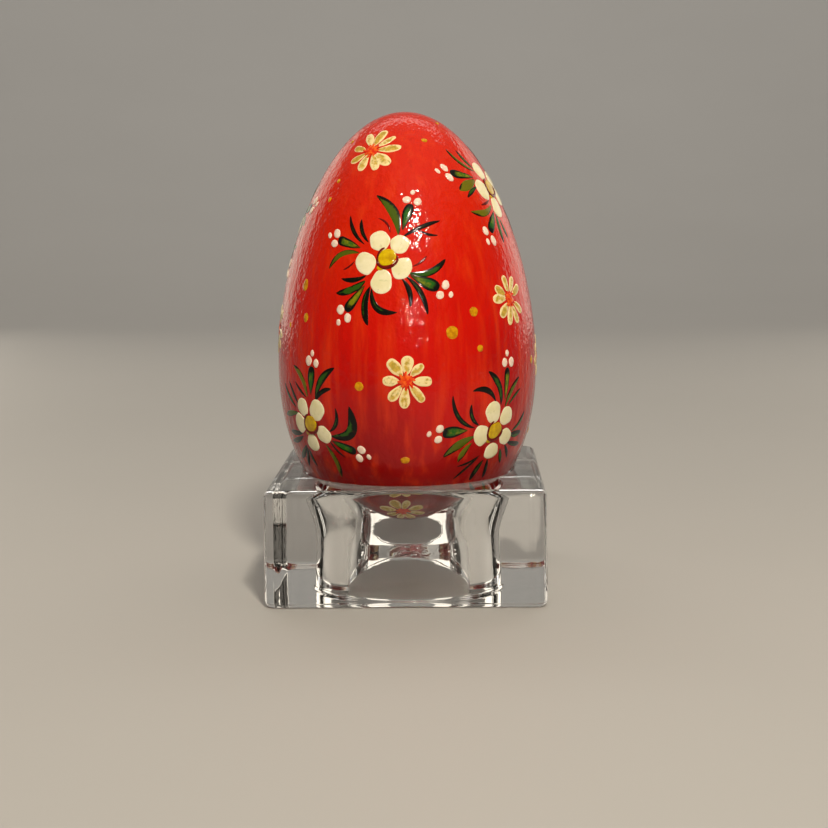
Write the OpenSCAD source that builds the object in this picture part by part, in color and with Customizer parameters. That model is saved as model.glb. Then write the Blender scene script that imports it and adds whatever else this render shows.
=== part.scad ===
// A hand-painted wooden egg that stands in a clear glass block with a round well through it.
// The egg is a turned wooden blank, a coat of red lacquer and the raised paint strokes on it.
// Origin: centre of the underside of the block. +Z is up, -Y is the front.

/* [Glass block] */
// Width of the block across its flats, at its base
block_w = 61.8; // [61.4:0.1:65]
// Height of the block
block_h = 25.9; // [25.3:0.1:26]
// How much narrower the block is at the top than at the base, for the mould to part
block_draft = 0.5; // [0:0.1:1.2]
// Radius of the block's upright corners
corner_r = 2.6; // [2:0.1:4]
// Radius of the block's edges round the top and the base
edge_r = 1.6; // [0.8:0.1:2]

/* [Well] */
// Radius of the well just under its rounded rim
well_top_r = 23.9; // [23.8:0.1:24.2]
// Radius of the well at its waist
well_waist_r = 20.9; // [20.7:0.1:21.1]
// Radius of the well at the base
well_base_r = 21.3; // [21.1:0.1:22.5]
// Height of the waist over the base
waist_z = 11.5; // [10:0.1:12.5]
// Radius of the rounded rim that the egg sits on
rim_r = 1.2; // [1:0.1:1.4]
// Radius of the rounded edge at the well's lower mouth
mouth_r = 0.9; // [0.4:0.1:1.2]

/* [Egg] */
// Height of the egg
egg_h = 96.3; // [95.5:0.1:98]
// Width of the even ellipse that the egg's outline starts from
egg_w = 58.4; // [58:0.1:58.5]
// How much the egg is fuller below its middle
fullness = 0.181; // [0.165:0.001:0.184]
// How much the egg is fuller at both ends
roundness = 0.0575; // [0.045:0.0005:0.06]
// Height of the egg's blunt end over the base of the block
egg_z = 11.1; // [11.05:0.05:12]
// Thickness of the red lacquer
lacquer_t = 0.15; // [0.1:0.05:0.3]

/* [Paint] */
// How much larger the blossom petals are than in their plan
petal_spread = 1; // [0.9:0.02:1.1]
// Radius of a blossom's yellow eye
eye_r = 1.7; // [1.4:0.1:2]
// How much larger the daisies are than in their plan
daisy_spread = 1; // [0.9:0.02:1]
// How much broader the leaves are than in their plan
leaf_spread = 1.16; // [0.9:0.02:1.3]
// How much broader the buds are than in their plan
bud_spread = 1.2; // [0.9:0.02:1.3]
// How far the thin ends of leaves and buds run on under the petals
root = 0.9; // [0:0.1:1.4]
// Radius of the largest berries in a bunch
berry_r = 0.85; // [0.6:0.05:1]
// Height of the thickest paint over the lacquer
relief = 0.2; // [0.1:0.02:0.24]

/* [Hidden] */
$fn = 96;

// Steps along the egg's outline, round a small corner, and along one half of the well's wall
egg_steps = 60;
corner_steps = 6;
wall_steps = 7;
// How far a stroke's underside sinks into the lacquer, so that it is stuck down all over
sink = 0.08;
// Segments round a dot and round a petal
dot_sides = 6;
petal_sides = 12;
// Half width and half height of a daisy's eye, and where its petals start from its centre
daisy_eye = [1.4, 1.3];
daisy_root = 1.3;
// In a bunch of berries: how far past the bud's tip the pair and the small one sit, and how far the pair
// sits to each side
pair_ahead = 0.9;
single_ahead = 2.8;
pair_aside = 1.2;

// --- What is painted, in degrees and millimetres ---
// A place on the egg is [angle round from the front, height].
// Inside a motif, a place is [direction, reach] from its centre: 0 is right, 90 is up.
// A stroke is [kind, start direction, start reach, end direction, end reach, bow, width].

upright_plan = [
    ["leaf", 64, 5.9, 102, 15.3, -1.65, 1.9],
    ["bud", 62, 7.3, 70, 13.3, 0, 1.9],
    ["leaf", 57, 6, 36, 14.1, 0.5, 0.95],
    ["leaf", 45, 9.9, 24, 12, -0.5, 0.5],
    ["leaf", 150, 6.4, 132, 13.3, 1.05, 0.85],
    ["leaf", 141, 6, 124, 10.8, 0.8, 0.85],
    ["bud", 160, 6.9, 161, 12.4, 0, 1.9],
    ["leaf", 171, 6.7, 191, 14.2, -1.85, 1.1],
    ["leaf", 185, 8.1, 195, 10.5, 0.25, 0.4],
    ["leaf", 221, 6.4, 203, 11.5, 0.75, 0.95],
    ["leaf", 227, 7.3, 213, 14.1, 0.75, 1.5],
    ["bud", 231, 8, 231, 14.6, 0, 1.8],
    ["leaf", 240, 7.6, 255, 15, -1.1, 1.45],
    ["leaf", 242, 7.6, 283, 11.8, -2.6, 1.3],
    ["leaf", 305, 6.1, 296, 11.8, 0.9, 1],
    ["leaf", 315, 6, 306, 15.3, 1.15, 1.05],
    ["leaf", 324, 6.2, 359, 12.8, -1.75, 1.4],
    ["bud", 323, 6.6, 330, 13.2, 0, 2.2],
    ["leaf", 339, 6.5, 363, 8.6, -0.4, 0.45],
    ["leaf", 85, 6.2, 105, 9.4, -0.85, 0.45]];

spreading_plan = [
    ["leaf", 125, 5.8, 126, 13.6, 1.6, 1],
    ["leaf", 121, 6.2, 116, 11.8, 0.75, 0.9],
    ["bud", 153, 6.3, 162, 12.1, 0, 1.9],
    ["leaf", 157, 6.2, 183, 11.8, 0, 1.9],
    ["leaf", 175, 6.3, 193, 10.8, -0.2, 0.8],
    ["leaf", 232, 5.9, 205, 12.8, 1.2, 1.3],
    ["leaf", 223, 5, 209, 8.4, 0.25, 0.5],
    ["bud", 240, 7, 232, 12.6, 0, 1.8],
    ["leaf", 246, 7.3, 254, 13, -0.4, 1.2],
    ["leaf", 255, 8.2, 267, 11.6, -0.1, 1],
    ["bud", 8, 8, 3, 13, 0, 1.8],
    ["leaf", 50, 7, 72, 13.4, -0.8, 1.1],
    ["leaf", 35, 7, 40, 13, -0.5, 0.9],
    ["leaf", 338, 7, 330, 13.5, 0.8, 1],
    ["leaf", 316, 7, 300, 13, 1, 1.1]];

left_plan = [
    ["leaf", 91, 6.4, 114, 13.5, -1.35, 1.2],
    ["leaf", 93, 6.6, 118, 10.2, 0.2, 0.6],
    ["bud", 80, 7, 82, 12.6, 0, 1.9],
    ["leaf", 64, 6.4, 56, 15.2, 1.4, 1.5],
    ["leaf", 66, 6, 48, 11, 0.9, 0.95],
    ["leaf", 134, 5.9, 131, 11.8, 0.1, 0.8],
    ["leaf", 146, 6.5, 142, 13.4, 0.5, 0.9],
    ["leaf", 153, 5.6, 176, 12, -0.1, 1.2],
    ["leaf", 214, 5.2, 195, 11.2, 0.3, 1.2],
    ["leaf", 221, 5.8, 206, 12.6, 0.4, 1.2],
    ["leaf", 237, 7.2, 228, 13, 0.4, 1.4],
    ["leaf", 245, 7.6, 262, 11.2, -0.4, 1],
    ["leaf", 240, 7.4, 243, 13, 0.2, 1.1],
    ["leaf", 308, 6.2, 291, 14.2, 1.15, 1.2],
    ["leaf", 329, 6.4, 318, 11.2, -0.4, 0.5],
    ["bud", 328, 7, 333, 12.7, 0, 1.9],
    ["leaf", 343, 6.1, 389, 9, -1.4, 0.9],
    ["leaf", 336, 6.2, 384, 12.4, -3.9, 2.2]];

right_plan = [
    ["bud", 68, 7.3, 77, 13.6, 0, 1.5],
    ["leaf", 77, 6.1, 103, 13.3, -1.45, 1.4],
    ["leaf", 92, 6.8, 128, 11.5, -1.65, 1.1],
    ["leaf", 62, 6, 55, 13.5, 0.8, 1.1],
    ["leaf", 56, 7, 45, 12, 0.3, 0.6],
    ["leaf", 169, 6.1, 143, 14.6, 1.95, 0.95],
    ["leaf", 161, 5.6, 137, 9.6, 1.05, 0.9],
    ["bud", 174, 8, 178, 13.3, 0, 2.3],
    ["leaf", 188, 6, 204, 13.4, -0.7, 1.8],
    ["leaf", 200, 7, 220, 10.9, -0.45, 1.3],
    ["leaf", 243, 7, 224, 11.6, 0.45, 0.6],
    ["leaf", 243, 7.6, 235, 14.4, -0.2, 0.65],
    ["leaf", 258, 7.8, 254, 13.2, -0.4, 1.3],
    ["leaf", 266, 7.6, 270, 12.4, 0.15, 1],
    ["leaf", 350, 6.8, 376, 12, -0.65, 1],
    ["leaf", 345, 6.4, 352, 11.2, -0.35, 1.5],
    ["leaf", 326, 6.8, 338, 12.7, -0.25, 1.2],
    ["leaf", 303, 6.2, 297, 10, 0, 1],
    ["leaf", 318, 6.6, 311, 10.4, 0.3, 0.9]];

// The petals of each plan, from the first one round: [direction, reach, half length, half width]
upright_petals = [
    [114, 4.1, 2.3, 2.25], [51, 3.9, 2.1, 2.1], [326, 3.9, 2.15, 2.45],
    [258, 5.2, 2.6, 2.3], [196, 4.8, 2.3, 2.45]];
spreading_petals = [
    [103, 4.4, 2.4, 2.1], [189, 3.9, 2.2, 2.45], [260, 4.7, 2.4, 2.1],
    [330, 4.3, 2.3, 2.2], [28, 4.2, 2.3, 2.2]];
left_petals = [
    [122, 4.2, 2.05, 1.9], [52, 4, 2.5, 2.15], [328, 4.1, 2.2, 1.95],
    [261, 4.5, 2.1, 1.95], [183, 4, 2.1, 2.25]];
right_petals = [
    [105, 4.2, 2.45, 2.15], [40, 4.4, 2.15, 2], [333, 4.4, 2.15, 1.95],
    [273, 4.9, 1.95, 2.1], [194, 3.6, 2.1, 2.45]];

// [angle, height, mirrored, plan, petals]
BLOSSOMS = [
    [-7, 75.6, 1, upright_plan, upright_petals],
    [69.6, 90.2, 1, spreading_plan, spreading_petals],
    [166, 76.6, -1, upright_plan, upright_petals],
    [-99, 83, -1, spreading_plan, spreading_petals],
    [-46, 39.1, 1, left_plan, left_petals],
    [43.6, 37.4, 1, right_plan, right_petals],
    [134, 39, -1, left_plan, left_petals],
    [-136, 37.8, -1, right_plan, right_petals]];

// The petals of three daisies: [direction, reach, half width]
round_daisy = [
    [88, 5.3, 1.35], [40, 5, 0.95], [356, 5.5, 1.15], [310, 5.9, 1.05],
    [268, 6.1, 1.15], [228, 5.7, 1.1], [183, 5.1, 1.15], [135, 5.8, 1.35]];
side_daisy = [
    [103, 5.3, 0.95], [63, 5.4, 0.85], [28, 5.5, 0.95], [324, 5.6, 0.9],
    [292, 6, 0.9], [257, 5.9, 1], [221, 5.5, 1.15], [179, 5.7, 1.1],
    [147, 5.3, 1.05]];
top_daisy = [
    [115, 5.8, 1.05], [80, 6.6, 1.2], [47, 6, 0.85], [8, 6.7, 1.05],
    [329, 6.5, 1.2], [298, 5.6, 1.1], [255, 5.3, 1.1], [213, 5.5, 0.85],
    [174, 5, 0.9]];

// [angle, height, turn, daisy]
DAISIES = [
    [-27, 98.5, 0, top_daisy],
    [55.3, 66, 0, side_daisy],
    [1.4, 49.6, 0, round_daisy],
    [-82, 59.1, 20, side_daisy],
    [90, 51.8, 60, round_daisy],
    [-179, 49, 100, round_daisy],
    [121, 67.6, 140, side_daisy],
    [-142, 63, 75, side_daisy],
    [127, 97.2, 190, top_daisy],
    [-133, 96.6, 80, top_daisy],
    [-2.5, 18.8, 30, round_daisy],
    [86, 19.2, 170, round_daisy],
    [176, 19.6, 250, round_daisy],
    [-94, 19.4, 310, round_daisy]];
under_daisy_turn = 14;

// [angle, height, radius, stretch up the egg]
GOLD_DOTS = [
    [21, 100.6, 0.7, 0.8], [-47, 92, 0.5, 1], [-49, 88, 0.5, 1.3], [-51.5, 69.5, 0.9, 1.5],
    [-48, 62.5, 0.75, 1.4], [-61, 60.5, 0.4, 1.5], [21.3, 59.6, 1.4, 1], [32.2, 63.8, 1.05, 1],
    [34.2, 55.9, 0.75, 1], [-18.6, 48.3, 1, 1], [0.4, 32, 1, 0.8], [88, 34.6, 0.9, 1],
    [72, 51.8, 0.8, 1.2], [105, 57.6, 1.1, 1], [98, 71.6, 1, 1.1], [148, 56.6, 1.3, 1],
    [172, 58.6, 0.8, 1.2], [-168, 59.6, 1, 1], [-157, 73.6, 0.9, 1.2], [-122, 67.6, 1.1, 1],
    [-118, 53.6, 0.8, 1.2], [-100, 47.6, 1, 1], [-90, 33.6, 0.9, 1], [179, 32.6, 1, 0.9],
    [-160, 89.6, 0.6, 1.2], [-60, 100.6, 0.6, 1], [100, 100.6, 0.6, 1], [60, 104.6, 0.5, 1],
    [-170, 103.6, 0.6, 1]];

// --- The egg's outline ---
// t runs from 0 at the blunt end to 180 at the pointed end.
function swell(c) = 1 + fullness * c + roundness * c * c;
function outline_r(t) = egg_w / 2 * sin(t) * swell(cos(t));
function outline_z(t) = egg_z + egg_h / 2 * (1 - cos(t));
// Slope of the outline for one radian of t: [across, up]
function slope(t) =
    let (c = cos(t), s = sin(t))
    [egg_w / 2 * (c * swell(c) - s * s * (fullness + 2 * roundness * c)), egg_h / 2 * s];
// A point of the outline, raised by h along the surface's own normal
function raised(t, h) =
    let (d = slope(t), m = norm(d))
    [outline_r(t) + h * d.y / m, outline_z(t) - h * d.x / m];
function t_at(z) = acos(1 - (z - egg_z) / (egg_h / 2));

// --- From a flat motif to the egg ---
function polar(direction, reach) = reach * [cos(direction), sin(direction)];
function on_skin(angle, t, h) = let (p = raised(t, h)) [p.x * sin(angle), -p.x * cos(angle), p.y];
// site is [angle, t]; p is [right, up] in millimetres from it. A site at the blunt end is laid out polar.
function laid(site, p, h) =
    let (degrees = 180 / PI, pole = site.y == 0)
    let (t = pole ? norm(p) / norm(slope(0)) * degrees : site.y + p.y / norm(slope(site.y)) * degrees)
    let (angle = pole ? -atan2(p.y, p.x) : site.x + p.x / outline_r(t) * degrees)
    on_skin(angle, t, h);
function site_of(motif) = [motif[0], t_at(motif[1])];

// A low dab of paint: its outline lies on the lacquer and its middle stands up by h.
module dab(site, rim, middle, h, foot = 0) {
    n = len(rim);
    points = concat(
        [for (p = rim) laid(site, p, foot - sink / 2)],
        [laid(site, middle, foot + h), laid(site, middle, -sink)]);
    faces = concat(
        [for (i = [0:n - 1]) [n, (i + 1) % n, i]],
        [for (i = [0:n - 1]) [n + 1, i, (i + 1) % n]]);
    polyhedron(points, faces);
}

// A stretched round dab. size is [half width, half length], turned by direction.
module spot(site, at, size, direction, h, sides, foot = 0) {
    along = polar(direction, 1);
    across = [-along.y, along.x];
    rim = [for (i = [0:sides - 1])
        at + size.x * cos(i * 360 / sides) * along + size.y * sin(i * 360 / sides) * across];
    dab(site, rim, at, h, foot);
}

// A brush stroke from a to b that bows sideways, pointed at both ends.
module stroke(site, a, b, bow, width, h) {
    along = (b - a) / norm(b - a);
    across = [-along.y, along.x];
    quarter = a + 0.3 * (b - a) + 0.84 * bow * across;
    late = a + 0.68 * (b - a) + 0.87 * bow * across;
    rim = [a, quarter - 0.42 * width * across, late - 0.5 * width * across,
        b, late + 0.5 * width * across, quarter + 0.42 * width * across];
    dab(site, rim, (quarter + late) / 2, h);
}

function plan_place(blossom, direction, reach) =
    let (p = polar(direction, reach)) [blossom[2] * p.x, p.y];

module blossom_strokes(kind, spread) {
    for (blossom = BLOSSOMS)
        for (s = blossom[3])
            if (s[0] == kind) {
                a = plan_place(blossom, s[1], s[2] - root);
                b = plan_place(blossom, s[3], s[4]);
                stroke(site_of(blossom), a, b, blossom[2] * s[5], spread * s[6], relief);
            }
}

// Three berries past the tip of a bud: two side by side and a smaller one beyond them
module bunch(blossom, s) {
    a = plan_place(blossom, s[1], s[2] - root);
    b = plan_place(blossom, s[3], s[4]);
    along = (b - a) / norm(b - a);
    across = [-along.y, along.x];
    site = site_of(blossom);
    for (side = [-1, 1])
        spot(site, b + pair_ahead * along + side * pair_aside * across, [berry_r, berry_r], 0, relief,
            dot_sides);
    spot(site, b + single_ahead * along, [0.64, 0.8] * berry_r, 0, relief, dot_sides);
}

// --- The parts ---
module corner_post(r) {
    rotate_extrude($fn = 32)
        intersection() {
            union() {
                translate([r - edge_r, 0]) circle(edge_r, $fn = 24);
                translate([0, -edge_r]) square([r - edge_r, 2 * edge_r]);
            }
            translate([0, -edge_r]) square([r, 2 * edge_r]);
        }
}

module block_body() {
    low = block_w / 2 - corner_r;
    high = low - block_draft / 2;
    hull()
        for (x = [-1, 1], y = [-1, 1]) {
            translate([x * low, y * low, edge_r]) corner_post(corner_r);
            translate([x * high, y * high, block_h - edge_r]) corner_post(corner_r);
        }
}

// A soft S from 0 to 1
function eased(s) = s * s * (3 - 2 * s);
// A stretch of the well's wall from one [radius, height] to another, upright at both ends
function wall(a, b) = [for (i = [1:wall_steps]) let (s = i / wall_steps)
    [a.x + eased(s) * (b.x - a.x), a.y + s * (b.y - a.y)]];

// Outline of the well, from its lower mouth up to its rounded rim
function well_outline() =
    let (mouth = [well_base_r, mouth_r], waist = [well_waist_r, waist_z])
    let (seat = [well_top_r, block_h - rim_r])
    concat(
        [[0, -1], [mouth.x + mouth_r, -1]],
        [for (i = [0:corner_steps]) let (a = 90 * i / corner_steps)
            mouth + mouth_r * [1 - sin(a), -cos(a)]],
        wall(mouth, waist),
        wall(waist, seat),
        [for (i = [1:corner_steps]) let (a = 90 * i / corner_steps)
            seat + rim_r * [1 - cos(a), sin(a)]],
        [[seat.x + rim_r, block_h + 1], [0, block_h + 1]]);

module glass_block() {
    color([0.82, 0.86, 0.86, 0.45])
        difference() {
            block_body();
            rotate_extrude() polygon(well_outline());
        }
}

function egg_outline(h) = [for (i = [0:egg_steps]) raised(180 * i / egg_steps, h)];

module egg_blank() {
    color("burlywood") rotate_extrude() polygon(egg_outline(-lacquer_t));
}

module red_lacquer() {
    inside = egg_outline(-lacquer_t);
    color([0.72, 0.04, 0.02])
        rotate_extrude()
            polygon(concat(egg_outline(0), [for (i = [egg_steps:-1:0]) inside[i]]));
}

module blossom_petals() {
    color([0.95, 0.91, 0.76])
        for (blossom = BLOSSOMS)
            for (petal = blossom[4]) {
                at = plan_place(blossom, petal[0], petal[1]);
                size = petal_spread * [petal[2], petal[3]];
                spot(site_of(blossom), at, size, atan2(at.y, at.x), relief, petal_sides);
            }
}

module blossom_rings() {
    color([0.38, 0.02, 0.02])
        for (blossom = BLOSSOMS)
            spot(site_of(blossom), [0, -0.2], [1.3, 1.2] * eye_r, 0, relief / 2, petal_sides, relief / 2);
}

module blossom_eyes() {
    color([0.85, 0.7, 0.05])
        for (blossom = BLOSSOMS)
            spot(site_of(blossom), [0, 0], [eye_r, eye_r * 0.9], 30, relief / 2, petal_sides, relief * 0.8);
}

module daisy_ring(site, turn, daisy) {
    for (petal = daisy) {
        direction = turn + petal[0];
        a = polar(direction, daisy_root);
        b = polar(direction, daisy_spread * petal[1]);
        across = polar(direction + 90, daisy_spread * petal[2]);
        rim = [a, a + 0.45 * (b - a) - 0.75 * across, a + 0.8 * (b - a) - across,
            b, a + 0.8 * (b - a) + across, a + 0.45 * (b - a) + 0.75 * across];
        dab(site, rim, a + 0.6 * (b - a), relief * 0.7);
    }
}

module daisy_petals() {
    color([0.96, 0.87, 0.55]) {
        for (daisy = DAISIES) daisy_ring(site_of(daisy), daisy[2], daisy[3]);
        daisy_ring([0, 0], under_daisy_turn, round_daisy);
    }
}

module daisy_eyes() {
    color([0.92, 0.2, 0.04]) {
        for (daisy = DAISIES) spot(site_of(daisy), [0, 0], daisy_eye, 0, relief * 0.6, dot_sides);
        spot([0, 0], [0, 0], daisy_eye, 0, relief * 0.6, dot_sides);
    }
}

module leaves() {
    color([0.14, 0.2, 0.05]) blossom_strokes("leaf", leaf_spread);
}

module buds() {
    color([0.2, 0.34, 0.06]) blossom_strokes("bud", bud_spread);
}

module berries() {
    color([0.97, 0.88, 0.8])
        for (blossom = BLOSSOMS)
            for (s = blossom[3])
                if (s[0] == "bud") bunch(blossom, s);
}

module gold_dots() {
    color([0.8, 0.56, 0.06])
        for (dot = GOLD_DOTS)
            spot(site_of(dot), [0, 0], [dot[2], dot[2] * dot[3]], 0, relief * 0.7, dot_sides);
}

glass_block();
egg_blank();
red_lacquer();
blossom_petals();
blossom_rings();
blossom_eyes();
daisy_petals();
daisy_eyes();
leaves();
buds();
berries();
gold_dots();
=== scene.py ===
"""The looks of a hand-painted wooden egg that stands in a clear glass block.

The red lacquer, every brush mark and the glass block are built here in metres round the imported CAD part.
A place on the egg is (angle round from the front, height); a brush mark is laid out flat, in millimetres
right and up from its motif's centre, and then bent on to the egg.
"""

import math

import bpy
import numpy as np
from mathutils import Matrix, Vector


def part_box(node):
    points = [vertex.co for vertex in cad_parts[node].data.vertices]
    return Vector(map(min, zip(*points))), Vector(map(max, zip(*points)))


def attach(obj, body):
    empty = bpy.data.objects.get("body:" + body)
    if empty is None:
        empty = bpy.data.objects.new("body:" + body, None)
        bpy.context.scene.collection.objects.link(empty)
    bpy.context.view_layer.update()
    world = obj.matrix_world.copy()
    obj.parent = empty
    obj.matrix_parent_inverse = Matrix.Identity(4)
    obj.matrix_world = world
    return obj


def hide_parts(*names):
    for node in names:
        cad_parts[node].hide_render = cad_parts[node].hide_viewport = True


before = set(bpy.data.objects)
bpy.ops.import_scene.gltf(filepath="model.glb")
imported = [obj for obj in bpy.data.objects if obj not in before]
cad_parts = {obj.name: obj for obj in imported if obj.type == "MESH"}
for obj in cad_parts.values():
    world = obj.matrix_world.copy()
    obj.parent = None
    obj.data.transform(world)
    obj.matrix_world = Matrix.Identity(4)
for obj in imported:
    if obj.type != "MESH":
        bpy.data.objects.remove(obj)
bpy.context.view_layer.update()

MM = 0.001
TAU = 2 * math.pi
rng = np.random.default_rng(7)

# --- The egg's outline, as in the CAD ---
EGG_W = 0.0584
FULLNESS = 0.181
ROUNDNESS = 0.0575
EGG_LOW, EGG_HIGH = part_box("red_lacquer")
EGG_H = EGG_HIGH.z - EGG_LOW.z
EGG_Z = EGG_LOW.z
LACQUER_T = 0.15 * MM

# --- The block, as in the CAD ---
BLOCK_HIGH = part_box("glass_block")[1]
BLOCK_HALF = BLOCK_HIGH.x
BLOCK_H = BLOCK_HIGH.z
BLOCK_DRAFT = 0.25 * MM
CORNER_R = 2.6 * MM
EDGE_R = 1.6 * MM
WELL_TOP_R = 23.9 * MM
WELL_WAIST_R = 20.9 * MM
WELL_BASE_R = 21.3 * MM
WAIST_Z = 11.5 * MM
RIM_R = 1.2 * MM
MOUTH_R = 0.9 * MM
MIN_CORNER_R = 0.4 * MM
# Where the rings of a flat face lie, from the block's edge to the well; close at both ends to keep it flat
FACE_SHARES = (0.01, 0.25, 0.5, 0.75, 0.99)

# --- What is painted, as in the CAD ---
# The rows of the plans, petals and daisies, and the places of the motifs seen in the photograph, are
# measurements of painted marks, found with a scratch script. The report says how.
# A stroke is (kind, start direction, start reach, end direction, end reach, bow, width, shade).
# Directions are in degrees, 0 to the right and 90 up, and lengths in millimetres.
# A leaf's shade runs from 0, black, over 1, green, to 2, olive; -1 is a faint red-brown. A bud has none.
UPRIGHT_PLAN = [
    ("leaf", 64, 5.9, 102, 15.3, -1.65, 1.9, 1.2),
    ("bud", 62, 7.3, 70, 13.3, 0, 1.9),
    ("leaf", 57, 6, 36, 14.1, 0.5, 0.95, 0),
    ("leaf", 45, 9.9, 24, 12, -0.5, 0.5, 0),
    ("leaf", 150, 6.4, 132, 13.3, 1.05, 0.85, 0),
    ("leaf", 141, 6, 124, 10.8, 0.8, 0.85, 0),
    ("bud", 160, 6.9, 161, 12.4, 0, 1.9),
    ("leaf", 171, 6.7, 191, 14.2, -1.85, 1.1, 1.3),
    ("leaf", 185, 8.1, 195, 10.5, 0.25, 0.4, -1),
    ("leaf", 221, 6.4, 203, 11.5, 0.75, 0.95, 0),
    ("leaf", 227, 7.3, 213, 14.1, 0.75, 1.5, 1),
    ("bud", 231, 8, 231, 14.6, 0, 1.8),
    ("leaf", 240, 7.6, 255, 15, -1.1, 1.45, 0.3),
    ("leaf", 242, 7.6, 283, 11.8, -2.6, 1.3, 0.2),
    ("leaf", 305, 6.1, 296, 11.8, 0.9, 1, 0),
    ("leaf", 315, 6, 306, 15.3, 1.15, 1.05, 0.1),
    ("leaf", 324, 6.2, 359, 12.8, -1.75, 1.4, 0.8),
    ("bud", 323, 6.6, 330, 13.2, 0, 2.2),
    ("leaf", 339, 6.5, 363, 8.6, -0.4, 0.45, -1),
    ("leaf", 85, 6.2, 105, 9.4, -0.85, 0.45, -1),
]
SPREADING_PLAN = [
    ("leaf", 125, 5.8, 126, 13.6, 1.6, 1, 1.3),
    ("leaf", 121, 6.2, 116, 11.8, 0.75, 0.9, 0.8),
    ("bud", 153, 6.3, 162, 12.1, 0, 1.9),
    ("leaf", 157, 6.2, 183, 11.8, 0, 1.9, 1.8),
    ("leaf", 175, 6.3, 193, 10.8, -0.2, 0.8, 0.6),
    ("leaf", 232, 5.9, 205, 12.8, 1.2, 1.3, 1.6),
    ("leaf", 223, 5, 209, 8.4, 0.25, 0.5, -1),
    ("bud", 240, 7, 232, 12.6, 0, 1.8),
    ("leaf", 246, 7.3, 254, 13, -0.4, 1.2, 1),
    ("leaf", 255, 8.2, 267, 11.6, -0.1, 1, 0.8),
    ("bud", 8, 8, 3, 13, 0, 1.8),
    ("leaf", 50, 7, 72, 13.4, -0.8, 1.1, 0.8),
    ("leaf", 35, 7, 40, 13, -0.5, 0.9, 0.2),
    ("leaf", 338, 7, 330, 13.5, 0.8, 1, 1),
    ("leaf", 316, 7, 300, 13, 1, 1.1, 0.4),
]
LEFT_PLAN = [
    ("leaf", 91, 6.4, 114, 13.5, -1.35, 1.2, 1.6),
    ("leaf", 93, 6.6, 118, 10.2, 0.2, 0.6, 0),
    ("bud", 80, 7, 82, 12.6, 0, 1.9),
    ("leaf", 64, 6.4, 56, 15.2, 1.4, 1.5, 0.7),
    ("leaf", 66, 6, 48, 11, 0.9, 0.95, 0),
    ("leaf", 134, 5.9, 131, 11.8, 0.1, 0.8, 0.2),
    ("leaf", 146, 6.5, 142, 13.4, 0.5, 0.9, 0.6),
    ("leaf", 153, 5.6, 176, 12, -0.1, 1.2, 1.2),
    ("leaf", 214, 5.2, 195, 11.2, 0.3, 1.2, 0),
    ("leaf", 221, 5.8, 206, 12.6, 0.4, 1.2, 0.1),
    ("leaf", 237, 7.2, 228, 13, 0.4, 1.4, 0.2),
    ("leaf", 245, 7.6, 262, 11.2, -0.4, 1, 0.2),
    ("leaf", 240, 7.4, 243, 13, 0.2, 1.1, 0),
    ("leaf", 308, 6.2, 291, 14.2, 1.15, 1.2, 1.4),
    ("leaf", 329, 6.4, 318, 11.2, -0.4, 0.5, 0),
    ("bud", 328, 7, 333, 12.7, 0, 1.9),
    ("leaf", 343, 6.1, 389, 9, -1.4, 0.9, 0.3),
    ("leaf", 336, 6.2, 384, 12.4, -3.9, 2.2, 0.55),
]
RIGHT_PLAN = [
    ("bud", 68, 7.3, 77, 13.6, 0, 1.5),
    ("leaf", 77, 6.1, 103, 13.3, -1.45, 1.4, 0.7),
    ("leaf", 92, 6.8, 128, 11.5, -1.65, 1.1, 0),
    ("leaf", 62, 6, 55, 13.5, 0.8, 1.1, 1.3),
    ("leaf", 56, 7, 45, 12, 0.3, 0.6, 0.8),
    ("leaf", 169, 6.1, 143, 14.6, 1.95, 0.95, 0.2),
    ("leaf", 161, 5.6, 137, 9.6, 1.05, 0.9, 0.2),
    ("bud", 174, 8, 178, 13.3, 0, 2.3),
    ("leaf", 188, 6, 204, 13.4, -0.7, 1.8, 1.3),
    ("leaf", 200, 7, 220, 10.9, -0.45, 1.3, 1.4),
    ("leaf", 243, 7, 224, 11.6, 0.45, 0.6, 0),
    ("leaf", 243, 7.6, 235, 14.4, -0.2, 0.65, 0),
    ("leaf", 258, 7.8, 254, 13.2, -0.4, 1.3, 0.3),
    ("leaf", 266, 7.6, 270, 12.4, 0.15, 1, 0),
    ("leaf", 350, 6.8, 376, 12, -0.65, 1, 1),
    ("leaf", 345, 6.4, 352, 11.2, -0.35, 1.5, 0.5),
    ("leaf", 326, 6.8, 338, 12.7, -0.25, 1.2, 0.2),
    ("leaf", 303, 6.2, 297, 10, 0, 1, 0.8),
    ("leaf", 318, 6.6, 311, 10.4, 0.3, 0.9, 0),
]
# The petals of each plan: (direction, reach, half length, half width)
UPRIGHT_PETALS = [
    (114, 4.1, 2.3, 2.25), (51, 3.9, 2.1, 2.1), (326, 3.9, 2.15, 2.45),
    (258, 5.2, 2.6, 2.3), (196, 4.8, 2.3, 2.45),
]
SPREADING_PETALS = [
    (103, 4.4, 2.4, 2.1), (189, 3.9, 2.2, 2.45), (260, 4.7, 2.4, 2.1),
    (330, 4.3, 2.3, 2.2), (28, 4.2, 2.3, 2.2),
]
LEFT_PETALS = [
    (122, 4.2, 2.05, 1.9), (52, 4, 2.5, 2.15), (328, 4.1, 2.2, 1.95),
    (261, 4.5, 2.1, 1.95), (183, 4, 2.1, 2.25),
]
RIGHT_PETALS = [
    (105, 4.2, 2.45, 2.15), (40, 4.4, 2.15, 2), (333, 4.4, 2.15, 1.95),
    (273, 4.9, 1.95, 2.1), (194, 3.6, 2.1, 2.45),
]
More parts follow.
